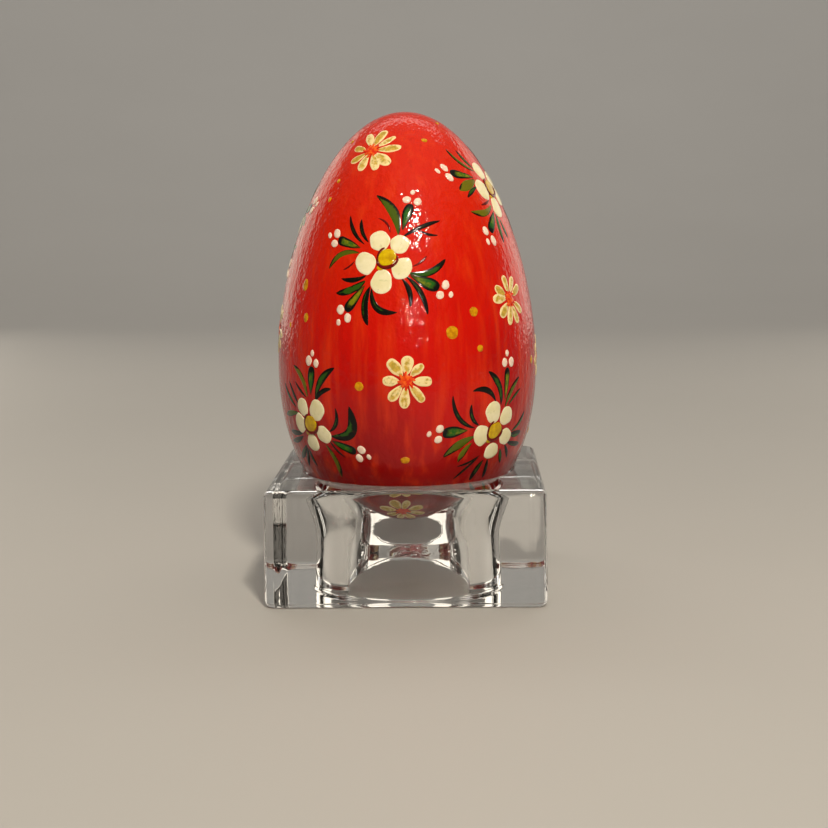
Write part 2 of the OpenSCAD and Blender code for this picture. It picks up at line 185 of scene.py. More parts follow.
# (angle, height, mirrored, plan, petals)
BLOSSOMS = [
    (-7, 75.6, 1, UPRIGHT_PLAN, UPRIGHT_PETALS),
    (69.6, 90.2, 1, SPREADING_PLAN, SPREADING_PETALS),
    (166, 76.6, -1, UPRIGHT_PLAN, UPRIGHT_PETALS),
    (-99, 83, -1, SPREADING_PLAN, SPREADING_PETALS),
    (-46, 39.1, 1, LEFT_PLAN, LEFT_PETALS),
    (43.6, 37.4, 1, RIGHT_PLAN, RIGHT_PETALS),
    (134, 39, -1, LEFT_PLAN, LEFT_PETALS),
    (-136, 37.8, -1, RIGHT_PLAN, RIGHT_PETALS),
]
# How far a leaf's or a bud's thin end runs on under the petals, and how broad they are against the plan
ROOT = 0.9
LEAF_SPREAD = 1.16
BUD_SPREAD = 1.2
# In a bunch of berries, how far past the bud's tip the pair and the small one sit, how far to each side,
# and their half sizes across and up
PAIR_AHEAD = 0.9
SINGLE_AHEAD = 2.8
PAIR_ASIDE = 1.2
PAIR_SIZE = (0.84, 0.96)
SINGLE_SIZE = (0.53, 0.68)
# The petals of three daisies: (direction, reach, half width)
ROUND_DAISY = [
    (88, 5.3, 1.35), (40, 5, 0.95), (356, 5.5, 1.15), (310, 5.9, 1.05),
    (268, 6.1, 1.15), (228, 5.7, 1.1), (183, 5.1, 1.15), (135, 5.8, 1.35),
]
SIDE_DAISY = [
    (103, 5.3, 0.95), (63, 5.4, 0.85), (28, 5.5, 0.95), (324, 5.6, 0.9),
    (292, 6, 0.9), (257, 5.9, 1), (221, 5.5, 1.15), (179, 5.7, 1.1),
    (147, 5.3, 1.05),
]
TOP_DAISY = [
    (115, 5.8, 1.05), (80, 6.6, 1.2), (47, 6, 0.85), (8, 6.7, 1.05),
    (329, 6.5, 1.2), (298, 5.6, 1.1), (255, 5.3, 1.1), (213, 5.5, 0.85),
    (174, 5, 0.9),
]
# (angle, height, turn, daisy)
DAISIES = [
    (-27, 98.5, 0, TOP_DAISY),
    (55.3, 66, 0, SIDE_DAISY),
    (1.4, 49.6, 0, ROUND_DAISY),
    (-82, 59.1, 20, SIDE_DAISY),
    (90, 51.8, 60, ROUND_DAISY),
    (-179, 49, 100, ROUND_DAISY),
    (121, 67.6, 140, SIDE_DAISY),
    (-142, 63, 75, SIDE_DAISY),
    (127, 97.2, 190, TOP_DAISY),
    (-133, 96.6, 80, TOP_DAISY),
    (-2.5, 18.8, 30, ROUND_DAISY),
    (86, 19.2, 170, ROUND_DAISY),
    (176, 19.6, 250, ROUND_DAISY),
    (-94, 19.4, 310, ROUND_DAISY),
]
# Turn and petals of the daisy right under the blunt end
UNDER_DAISY = (14, ROUND_DAISY)
# Where a daisy's petals start from its centre
DAISY_ROOT = 1.25
# (angle, height, radius, stretch up the egg)
GOLD_DOTS = [
    (21, 100.6, 0.7, 0.8), (-47, 92, 0.5, 1), (-49, 88, 0.5, 1.3), (-51.5, 69.5, 0.9, 1.5),
    (-48, 62.5, 0.75, 1.4), (-61, 60.5, 0.4, 1.5), (21.3, 59.6, 1.4, 1), (32.2, 63.8, 1.05, 1),
    (34.2, 55.9, 0.75, 1), (-18.6, 48.3, 1, 1), (0.4, 32, 1, 0.8), (88, 34.6, 0.9, 1),
    (72, 51.8, 0.8, 1.2), (105, 57.6, 1.1, 1), (98, 71.6, 1, 1.1), (148, 56.6, 1.3, 1),
    (172, 58.6, 0.8, 1.2), (-168, 59.6, 1, 1), (-157, 73.6, 0.9, 1.2), (-122, 67.6, 1.1, 1),
    (-118, 53.6, 0.8, 1.2), (-100, 47.6, 1, 1), (-90, 33.6, 0.9, 1), (179, 32.6, 1, 0.9),
    (-160, 89.6, 0.6, 1.2), (-60, 100.6, 0.6, 1), (100, 100.6, 0.6, 1), (60, 104.6, 0.5, 1),
    (-170, 103.6, 0.6, 1),
]
# How thick each kind of paint lies, in millimetres
PETAL_H = 0.18
RING_H = 0.14
EYE_H = 0.14
SMEAR_H = 0.12
LEAF_H = 0.07
BUD_H = 0.1
PAIR_H = 0.22
SINGLE_H = 0.18
DAISY_H = 0.13
DAISY_EYE_H = 0.14
SPOKE_H = 0.1
GOLD_H = 0.13


# --- Geometry of the egg's surface ---
def swell(c):
    return 1 + FULLNESS * c + ROUNDNESS * c * c


def outline(t):
    """Radius and height of the lacquer at t, from 0 at the blunt end to pi at the tip."""
    return EGG_W / 2 * np.sin(t) * swell(np.cos(t)), EGG_Z + EGG_H / 2 * (1 - np.cos(t))


def slope(t):
    """How radius and height change with t."""
    c, s = np.cos(t), np.sin(t)
    return EGG_W / 2 * (c * swell(c) - s * s * (FULLNESS + 2 * ROUNDNESS * c)), EGG_H / 2 * s


def raised(t, h):
    """Radius and height of the outline at t, moved out by h along its own normal."""
    r, z = outline(t)
    dr, dz = slope(t)
    m = np.hypot(dr, dz)
    return r + h * dz / m, z - h * dr / m


def on_skin(angle, t, h):
    """Points at height h over the lacquer."""
    r, z = raised(t, h)
    return np.stack([r * np.sin(angle), -r * np.cos(angle), z], -1)


def laid(site, x, y, h):
    """Bends flat points, x right and y up from site = (angle, t), on to the egg."""
    angle0, t0 = site
    if t0 == 0:
        t = np.hypot(x, y) / np.hypot(*slope(0.0))
        return on_skin(-np.arctan2(y, x), t, h)
    t = t0 + y / np.hypot(*slope(t0))
    return on_skin(angle0 + x / outline(t)[0], t, h)


def site_of(motif):
    """Where a motif sits, as (angle, t), from its (degrees round from the front, millimetres up)."""
    height = motif[1] * MM
    return math.radians(motif[0]), math.acos(1 - (height - EGG_Z) / (EGG_H / 2))


def polar(direction, reach, mirrored=1):
    """A flat point, mirrored left to right where mirrored is -1."""
    a = math.radians(direction)
    return np.array([mirrored * reach * math.cos(a), reach * math.sin(a)])


# --- Meshes ---
def mesh_piece(name, points, faces, smooth, attributes=None):
    mesh = bpy.data.meshes.new(name)
    mesh.from_pydata([tuple(p) for p in points], [], faces)
    mesh.polygons.foreach_set("use_smooth", smooth)
    for key, values in (attributes or {}).items():
        layer = mesh.attributes.new(key, "FLOAT", "POINT")
        layer.data.foreach_set("value", np.asarray(values, np.float32))
    mesh.update()
    piece = bpy.data.objects.new(name, mesh)
    bpy.context.scene.collection.objects.link(piece)
    return piece


class Paint:
    """Brush marks of one kind, gathered into one mesh. Each mark is a closed low dome on the lacquer."""

    SINK = 0.03 * MM

    def __init__(self):
        self.points = []
        self.faces = []
        self.smooth = []
        self.attributes = {"along": [], "across": [], "seed": [], "tone": []}

    def mark(self, site, spine, half_width, height, rows, cols,
             tone=0.0, foot=0.0, streaks=0.08, plump=0.35):
        """spine(s) gives flat points in metres and half_width(s) the half width there, for s from 0 to 1.

        The mark stands up by height over foot; streaks is how uneven it is and plump how steep its sides.
        """
        s = (1 - np.cos(np.linspace(0, math.pi, rows + 1))) / 2
        c = -np.cos(np.linspace(0, math.pi, cols + 1))
        x, y = spine(s)
        dx, dy = np.gradient(x, s), np.gradient(y, s)
        m = np.hypot(dx, dy)
        w = half_width(s)
        seed = rng.random()
        phase = rng.random(4) * TAU
        wobble = 1 + 0.05 * np.sin(9 * s + phase[0])
        px = x[:, None] - dy[:, None] / m[:, None] * (w * wobble)[:, None] * c[None, :]
        py = y[:, None] + dx[:, None] / m[:, None] * (w * wobble)[:, None] * c[None, :]
        dome = np.clip((w / w.max())[:, None] ** 2 * (1 - c[None, :] ** 2), 0, 1) ** plump
        grain = np.sin(8 * c[None, :] + 2.2 * s[:, None] + phase[1])
        grain = grain + 0.6 * np.sin(15 * c[None, :] - 3 * s[:, None] + phase[2])
        lumps = np.sin(5 * s[:, None] + 3 * c[None, :] + phase[3])
        h = foot + height * dome * (1 + streaks * (grain + lumps)) - self.SINK * (1 - dome)
        grid = laid(site, px, py, h)
        first = len(self.points)
        row_size = cols + 1
        tips = [first, first + 1 + (rows - 1) * row_size]
        flat = [grid[0, 0]] + [p for i in range(1, rows) for p in grid[i]] + [grid[rows, 0]]
        self.points.extend(flat)
        for key, values in (
            ("along", [0.0] + [v for i in range(1, rows) for v in [s[i]] * row_size] + [1.0]),
            ("across", [0.0] + [v for i in range(1, rows) for v in c] + [0.0]),
            ("seed", [seed] * len(flat)),
            ("tone", [tone] * len(flat)),
        ):
            self.attributes[key].extend(values)

        def at(i, j):
            return first + 1 + (i - 1) * row_size + j

        turned = np.cross(grid[rows // 2, cols // 2 + 1] - grid[rows // 2, cols // 2],
                          grid[rows // 2 + 1, cols // 2] - grid[rows // 2, cols // 2])
        inside = np.array([0, 0, EGG_Z + 0.45 * EGG_H])
        out = grid[rows // 2, cols // 2] - inside
        flip = np.dot(turned, out) < 0

        def add(face, smooth):
            self.faces.append(tuple(face[::-1]) if flip else tuple(face))
            self.smooth.append(smooth)

        for j in range(cols):
            add([tips[0], at(1, j + 1), at(1, j)], True)
            add([tips[1], at(rows - 1, j), at(rows - 1, j + 1)], True)
            for i in range(1, rows - 1):
                add([at(i, j), at(i, j + 1), at(i + 1, j + 1), at(i + 1, j)], True)
        for i in range(1, rows - 1):
            add([at(i, 0), at(i + 1, 0), at(i + 1, cols), at(i, cols)], False)
        add([tips[0], at(1, 0), at(1, cols)], False)
        add([tips[1], at(rows - 1, cols), at(rows - 1, 0)], False)

    def piece(self, name, node, slot, material):
        piece = mesh_piece(name, self.points, self.faces, self.smooth, self.attributes)
        finish_piece(piece, material, "egg", slot, node)
        return piece


def finish_piece(piece, material, body, slot, *nodes):
    """Gives a piece its look and its body, and hides the CAD nodes it stands in for."""
    piece.data.materials.append(material)
    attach(piece, body)
    if nodes:
        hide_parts(*nodes)


def taper(rise, fall):
    """A brush mark's half width along its length: 1 at its widest."""
    widest = rise / (rise + fall)
    top = widest**rise * (1 - widest) ** fall
    return lambda s: np.clip(s, 0, 1) ** rise * np.clip(1 - s, 0, 1) ** fall / top


def bowed(a, b, bow):
    """Spine from a to b that bows sideways by bow, all in mm."""
    along = (b - a) / np.linalg.norm(b - a)
    across = np.array([-along[1], along[0]])

    def spine(s):
        sideways = 4 * s * (1 - s) * bow
        p = a[None, :] + s[:, None] * (b - a)[None, :] + sideways[:, None] * across[None, :]
        return p[:, 0] * MM, p[:, 1] * MM

    return spine


def scaled(profile, half_width):
    """A profile at a half width in millimetres."""
    return lambda s: profile(s) * half_width * MM


MIDDLE = np.array([0.0, 0.0])
ROUND = taper(0.5, 0.5)
PETAL = taper(0.54, 0.46)
SQUARISH = taper(0.34, 0.34)
LEAF = taper(0.85, 0.7)
CALYX = taper(1.1, 0.38)
DAISY = taper(0.72, 0.42)


def dot(paint, site, at, half_across, half_up, height, turn=0.0, **looks):
    """A round dab at a flat point, in mm."""
    along = polar(turn + 90, half_up)
    looks.setdefault("rows", 12)
    looks.setdefault("cols", 12)
    paint.mark(site, bowed(at - along, at + along, 0), scaled(ROUND, half_across), height * MM, **looks)


def jitter(amount):
    """A random number from -amount to amount."""
    return (rng.random() - 0.5) * 2 * amount


# --- Materials ---
def srgb(r, g, b):
    """A colour given in 0 to 255 display values, as linear RGBA."""
    def linear(v):
        v = v / 255
        return v / 12.92 if v <= 0.04045 else ((v + 0.055) / 1.055) ** 2.4
    return linear(r), linear(g), linear(b), 1.0


class Shader:
    """A material's node tree, with short ways to add what these materials need."""

    def __init__(self, name):
        self.material = bpy.data.materials.new(name)
        self.material.use_nodes = True
        self.tree = self.material.node_tree
        self.principled = self.tree.nodes["Principled BSDF"]

    def add(self, kind, **values):
        node = self.tree.nodes.new(kind)
        for key, value in values.items():
            setattr(node, key, value)
        return node

    def plug(self, source, target):
        if isinstance(source, (int, float, tuple)):
            target.default_value = source
        else:
            self.tree.links.new(source, target)

    def set(self, **values):
        for key, value in values.items():
            self.plug(value, self.principled.inputs[key.replace("_", " ")])

    def position(self, stretch=(1, 1, 1)):
        """Object coordinates, stretched."""
        mapping = self.add("ShaderNodeMapping")
        mapping.inputs["Scale"].default_value = stretch
        self.tree.links.new(self.add("ShaderNodeTexCoord").outputs["Object"], mapping.inputs["Vector"])
        return mapping.outputs["Vector"]

    def noise(self, vector, scale, detail=3.0, roughness=0.5):
        node = self.add("ShaderNodeTexNoise")
        self.plug(vector, node.inputs["Vector"])
        node.inputs["Scale"].default_value = scale
        node.inputs["Detail"].default_value = detail
        node.inputs["Roughness"].default_value = roughness
        return node.outputs["Fac"]

    def math(self, operation, a, b=0.0):
        node = self.add("ShaderNodeMath", operation=operation)
        self.plug(a, node.inputs[0])
        self.plug(b, node.inputs[1])
        return node.outputs[0]

    def ramp(self, value, low, high, to_low=0.0, to_high=1.0):
        """Smooth step of value from low to high."""
        node = self.add("ShaderNodeMapRange", interpolation_type="SMOOTHSTEP")
        self.plug(value, node.inputs["Value"])
        for key, number in (("From Min", low), ("From Max", high), ("To Min", to_low), ("To Max", to_high)):
            node.inputs[key].default_value = number
        return node.outputs["Result"]

    def mix(self, factor, a, b):
        node = self.add("ShaderNodeMix", data_type="RGBA")
        self.plug(factor, node.inputs["Factor"])
        self.plug(a, node.inputs[6])
        self.plug(b, node.inputs[7])
        return node.outputs[2]

    def attribute(self, name):
        return self.add("ShaderNodeAttribute", attribute_name=name).outputs["Fac"]

    def bump(self, height, distance, strength=1.0, normal=None):
        node = self.add("ShaderNodeBump")
        self.plug(height, node.inputs["Height"])
        node.inputs["Distance"].default_value = distance
        node.inputs["Strength"].default_value = strength
        if normal is not None:
            self.plug(normal, node.inputs["Normal"])
        return node.outputs["Normal"]


def lacquer_material():
    """Red lacquer brushed on from end to end of the egg, under a hard gloss with a fine peel.

    Its red is painted darker towards the blunt end at the bottom, as painted shade, and more orange towards
    the top, as a painted sheen.
    """
    s = Shader("red_lacquer_gloss")
    height = s.add("ShaderNodeSeparateXYZ")
    s.plug(s.position(), height.inputs[0])
    clouds = s.noise(s.position((1, 1, 0.6)), 42, 3)
    # Painted shade and sheen: by height alone, the red goes darker low on the egg and more orange high up.
    painted_light_level = s.math("ADD", height.outputs["Z"], s.math("MULTIPLY", s.math("SUBTRACT", clouds, 0.5), 0.05))
    tone = s.mix(s.ramp(painted_light_level, 0.024, 0.062), srgb(146, 0, 0), srgb(208, 12, 0))
    tone = s.mix(s.ramp(painted_light_level, 0.05, 0.1), tone, srgb(216, 34, 0))
    streaks = s.noise(s.position((1, 1, 0.07)), 420, 4)
    tone = s.mix(s.ramp(streaks, 0.46, 0.78, 0, 0.6), tone, srgb(230, 60, 12))
    thin = s.noise(s.position((1, 1, 0.1)), 900, 2)
    tone = s.mix(s.ramp(thin, 0.56, 0.85, 0, 0.25), tone, srgb(140, 2, 1))
    peel = s.noise(s.position((1, 1, 0.75)), 640, 2, 0.6)
    ridges = s.noise(s.position((1, 1, 0.14)), 620, 3)
    soft = s.noise(s.position((1, 1, 0.35)), 110, 2)
    under = s.bump(soft, 0.3 * MM, 0.6)
    brushed = s.bump(ridges, 0.06 * MM, 0.8, under)
    normal = s.bump(peel, 0.24 * MM, 1.0, brushed)
    s.set(Base_Color=tone, Roughness=0.45, Specular_IOR_Level=0.05, Normal=normal,
          Coat_Weight=0.85, Coat_IOR=1.38, Coat_Roughness=0.04, Coat_Normal=normal)
    return s.material


def enamel_gloss(s, tone, grain_scale=1500, coat=0.8):
    """Raised enamel: its colour, fine bristle grain and a gloss over it."""
    fine = s.noise(s.position(), grain_scale, 2)
    normal = s.bump(fine, 0.02 * MM, 0.7)
    s.set(Base_Color=tone, Roughness=0.4, Specular_IOR_Level=0.05, Normal=normal,
          Coat_Weight=coat, Coat_IOR=1.38, Coat_Roughness=0.1)
    return s.material


def petal_material():
    s = Shader("cream_enamel")
    body = s.mix(s.ramp(s.noise(s.position(), 420, 3), 0.35, 0.7), srgb(250, 240, 200), srgb(240, 230, 178))
    rim = s.math("ABSOLUTE", s.attribute("across"))
    body = s.mix(s.ramp(rim, 0.75, 1.0, 0, 0.5), body, srgb(252, 244, 214))
    green = s.noise(s.position(), 900, 2)
    body = s.mix(s.ramp(green, 0.62, 0.8, 0, 0.45), body, srgb(196, 196, 122))
    specks = s.noise(s.position(), 3200, 1)
    body = s.mix(s.ramp(specks, 0.74, 0.8, 0, 0.5), body, srgb(120, 110, 70))
    return enamel_gloss(s, body)


def eye_material():
    s = Shader("yellow_enamel")
    body = s.mix(s.ramp(s.noise(s.position(), 700, 3), 0.35, 0.7), srgb(226, 190, 4), srgb(192, 148, 2))
    return enamel_gloss(s, body)


def ring_material():
    s = Shader("maroon_enamel")
    body = s.mix(s.noise(s.position(), 900, 2), srgb(88, 6, 2), srgb(126, 14, 6))
    return enamel_gloss(s, body)


def daisy_material():
    """Cream round a middle where gold and a little olive show: each petal has its own share of them."""
    s = Shader("daisy_enamel")
    flecks = s.noise(s.position(), 1000, 3)
    rim = s.math("ABSOLUTE", s.attribute("across"))
    share = s.math("ADD", flecks, s.math("MULTIPLY", s.attribute("seed"), 0.3))
    share = s.math("SUBTRACT", share, s.ramp(rim, 0.35, 0.95, 0, 0.4))
    share = s.math("SUBTRACT", share, s.ramp(s.attribute("along"), 0.8, 1.0, 0, 0.3))
    body = s.mix(s.ramp(share, 0.42, 0.7), srgb(250, 228, 166), srgb(216, 176, 72))
    olive = s.noise(s.position(), 1700, 2)
    body = s.mix(s.ramp(s.math("ADD", olive, s.math("MULTIPLY", share, 0.4)), 0.72, 0.92, 0, 0.5), body,
                 srgb(152, 136, 44))
    body = s.mix(s.ramp(rim, 0.8, 1.0, 0, 0.4), body, srgb(252, 224, 170))
    return enamel_gloss(s, body)


def daisy_eye_material():
    s = Shader("orange_enamel")
    body = s.mix(s.ramp(s.noise(s.position(), 1300, 3), 0.4, 0.65), srgb(232, 44, 8), srgb(250, 110, 30))
    return enamel_gloss(s, body)


def leaf_material():
    """A brush loaded with green and black: a green middle, to one side, with black edges and ends."""
    s = Shader("leaf_enamel")
    along = s.attribute("along")
    tone = s.attribute("tone")
    seed = s.attribute("seed")
    bristles = s.noise(s.position(), 900, 2)
    aside = s.math("ADD", s.attribute("across"), s.math("MULTIPLY", s.math("SUBTRACT", seed, 0.5), 0.9))
    green = s.math("SUBTRACT", 0.3, s.math("ABSOLUTE", aside))
    green = s.math("ADD", green, s.math("SUBTRACT", bristles, 0.5))
    green = s.math("ADD", green, s.math("MULTIPLY", tone, 0.75))
    green = s.math("SUBTRACT", green, s.ramp(along, 0.6, 0.95, 0, 0.8))
    green = s.math("SUBTRACT", green, s.ramp(along, 0.0, 0.35, 0.4, 0))
    hue = s.mix(s.ramp(tone, 0.9, 1.7), srgb(44, 86, 16), srgb(112, 108, 14))
    dark = s.mix(s.ramp(bristles, 0.5, 0.8, 0, 0.5), srgb(13, 13, 6), srgb(58, 16, 8))
    body = s.mix(s.ramp(green, 0.15, 0.55), dark, hue)
    body = s.mix(s.ramp(tone, -0.6, -0.2, 0.85, 0), body, srgb(112, 14, 6))
    return enamel_gloss(s, body, grain_scale=1800, coat=0.6)


def bud_material():
    """A green or olive calyx: red-brown at its thin end, black round its broad one."""
    s = Shader("bud_enamel")
    across = s.attribute("across")
    along = s.attribute("along")
    bristles = s.noise(s.position(), 1000, 2)
    share = s.math("ADD", s.math("MULTIPLY", s.attribute("seed"), 0.7), bristles)
    body = s.mix(s.ramp(share, 0.55, 1.05), srgb(34, 96, 22), srgb(140, 138, 16))
    edge = s.math("ADD", s.math("ABSOLUTE", across), s.math("MULTIPLY", bristles, 0.5))
    body = s.mix(s.ramp(edge, 0.62, 0.95), body, srgb(13, 16, 7))
    end = s.math("ADD", along, s.math("MULTIPLY", s.math("SUBTRACT", bristles, 0.5), 0.3))
    body = s.mix(s.ramp(end, 0.7, 0.88), body, srgb(10, 16, 12))
    body = s.mix(s.ramp(end, 0.1, 0.4, 0.8, 0), body, srgb(70, 20, 8))
    return enamel_gloss(s, body, grain_scale=1800, coat=0.6)


def berry_material():
    s = Shader("berry_enamel")
    body = s.mix(s.ramp(s.noise(s.position(), 1300, 3), 0.35, 0.7), srgb(252, 236, 214), srgb(244, 208, 190))
    return enamel_gloss(s, body)


def gold_material():
    s = Shader("gold_enamel")
    body = s.mix(s.ramp(s.noise(s.position(), 1200, 3), 0.35, 0.7), srgb(222, 160, 12), srgb(184, 116, 4))
    return enamel_gloss(s, body)


def glass_material():
    """Clear pressed glass: a slow waviness from the mould, and a faint grey-green in its depth."""
    s = Shader("clear_glass")
    waves = s.noise(s.position(), 70, 1)
    ripple = s.noise(s.position((1, 1, 2.2)), 260, 1)
    normal = s.bump(ripple, 0.03 * MM, 0.5, s.bump(waves, 0.25 * MM, 0.5))
    tint = s.mix(waves, (0.93, 0.945, 0.95, 1.0), (0.96, 0.965, 0.965, 1.0))
    s.set(Base_Color=tint, Roughness=0.012, IOR=1.5, Transmission_Weight=1.0, Normal=normal)
    return s.material


def wood_material():
    """Turned limewood, seen only where the lacquer is off."""
    s = Shader("turned_wood")
    rings = s.add("ShaderNodeTexWave", wave_type="RINGS", rings_direction="Z")
    s.plug(s.position(), rings.inputs["Vector"])
    rings.inputs["Scale"].default_value = 160
    rings.inputs["Distortion"].default_value = 2.5
    fibre = s.noise(s.position((1, 1, 0.05)), 900, 3)
    body = s.mix(rings.outputs["Fac"], srgb(214, 178, 126), srgb(186, 144, 92))
    body = s.mix(s.ramp(fibre, 0.5, 0.8, 0, 0.4), body, srgb(150, 108, 62))
    s.set(Base_Color=body, Roughness=0.6, Normal=s.bump(fibre, 0.05 * MM, 0.5))
    return s.material


def floor_material():
    s = Shader("pale_floor")
    body = s.mix(s.noise(s.position(), 6, 2), srgb(190, 188, 184), srgb(196, 194, 190))
    s.set(Base_Color=body, Roughness=0.6)
    return s.material


# --- Pieces ---
def lathe_rings(profile, columns):
    """Rings of points about the Z axis, one for each (radius, height)."""
    a = np.arange(columns) * TAU / columns
    return [np.stack([r * np.sin(a), -r * np.cos(a), np.full(columns, z)], -1) for r, z in profile]


def ring_faces(rings, columns, closed):
    steps = rings if closed else rings - 1
    return [
        (k * columns + i, k * columns + (i + 1) % columns,
         (k + 1) % rings * columns + (i + 1) % columns, (k + 1) % rings * columns + i)
        for k in range(steps) for i in range(columns)
    ]


def make_lacquer():
    """A closed thin shell: the glossy outside and the inside against the wood."""
    rows, columns = 150, 240
    points = []
    faces = []
    for h in (0.0, -0.8 * LACQUER_T):
        start = len(points)
        t = np.linspace(0, math.pi, rows + 1)
        r, z = raised(t, h)
        rings = lathe_rings(list(zip(r[1:-1], z[1:-1])), columns)
        points += [p for ring in rings for p in ring] + [np.array([0, 0, z[0]]), np.array([0, 0, z[-1]])]
        shell = ring_faces(len(rings), columns, False)
        low, high = len(rings) * columns, len(rings) * columns + 1
        last = (len(rings) - 1) * columns
        shell += [(low, (i + 1) % columns, i) for i in range(columns)]
        shell += [(high, last + i, last + (i + 1) % columns) for i in range(columns)]
        faces += [tuple(start + v for v in (f if h == 0.0 else f[::-1])) for f in shell]
    piece = mesh_piece("lacquer_coat", points, faces, [True] * len(faces))
    finish_piece(piece, lacquer_material(), "egg", "red_lacquer", "red_lacquer")


def fillet(centre_r, centre_z, radius, start, end, steps=10):
    """An arc of the profile, with a close extra point at each end to keep the flats flat."""
    lead = 0.06
    spread = [0, lead / steps] + [k / steps for k in range(1, steps)] + [1 - lead / steps, 1]
    angles = [math.radians(start + (end - start) * k) for k in spread]
    return [(centre_r + radius * math.cos(a), centre_z + radius * math.sin(a)) for a in angles]


def make_block():
    """The block in one loop of rings: down its outside, under it, up the well and back over the top."""
    columns = 360
    a = (np.arange(columns) + 0.5) * TAU / columns
    circle = np.stack([np.sin(a), -np.cos(a)], -1)

    def square_ring(half, corner):
        """Points of a square with round corners, at even steps of the angle."""
        inner = half - corner
        reach = half / np.maximum(np.abs(circle[:, 0]), np.abs(circle[:, 1]))
        flat = circle * reach[:, None]
        bent = flat.copy()
        both = (np.abs(flat[:, 0]) > inner) & (np.abs(flat[:, 1]) > inner)
        for k in np.where(both)[0]:
            sign = np.sign(flat[k])
            d = circle[k]
            centre = inner * sign
            along = d @ centre
            root = math.sqrt(along * along - centre @ centre + corner * corner)
            bent[k] = d * (along + root)
        return bent

    def at_height(flat, z):
        return np.column_stack([flat, np.full(columns, z)])

    def outer(inset, z):
        """Round the block's outside, drawn in by inset."""
        half = BLOCK_HALF - BLOCK_DRAFT * (z / BLOCK_H)
        return at_height(square_ring(half - inset, max(CORNER_R - inset, MIN_CORNER_R)), z)

    def inner(r, z):
        """Round the well."""
        return at_height(circle * r, z)

    def blended(share, z, r_inside):
        """Across a flat face, from the outside at 0 to the well at 1."""
        return at_height((1 - share) * outer(EDGE_R, z)[:, :2] + share * circle * r_inside, z)

    rings = []
    for out, z in fillet(0, BLOCK_H - EDGE_R, EDGE_R, 90, 0):
        rings.append(outer(EDGE_R - out, z))
    for z in np.linspace(BLOCK_H - EDGE_R, EDGE_R, 10)[1:-1]:
        rings.append(outer(0, z))
    for out, z in fillet(0, EDGE_R, EDGE_R, 0, -90):
        rings.append(outer(EDGE_R - out, z))
    under_r = WELL_BASE_R + MOUTH_R
    for share in FACE_SHARES:
        rings.append(blended(share, 0.0, under_r))
    for r, z in fillet(under_r, MOUTH_R, MOUTH_R, 270, 180, 8):
        rings.append(inner(r, z))
    seat_z = BLOCK_H - RIM_R
    for (r0, z0), (r1, z1) in (((WELL_BASE_R, MOUTH_R), (WELL_WAIST_R, WAIST_Z)),
                               ((WELL_WAIST_R, WAIST_Z), (WELL_TOP_R, seat_z))):
        for share in np.linspace(0, 1, 16)[1:-1]:
            eased = share * share * (3 - 2 * share)
            rings.append(inner(r0 + (r1 - r0) * eased, z0 + (z1 - z0) * share))
    for r, z in fillet(WELL_TOP_R + RIM_R, seat_z, RIM_R, 180, 90):
        rings.append(inner(r, z))
    for share in FACE_SHARES[::-1]:
        rings.append(blended(share, BLOCK_H, WELL_TOP_R + RIM_R))
    faces = [f[::-1] for f in ring_faces(len(rings), columns, True)]
    points = [p for ring in rings for p in ring]
    piece = mesh_piece("glass_body", points, faces, [True] * len(faces))
    finish_piece(piece, glass_material(), "stand", "clear_glass", "glass_block")


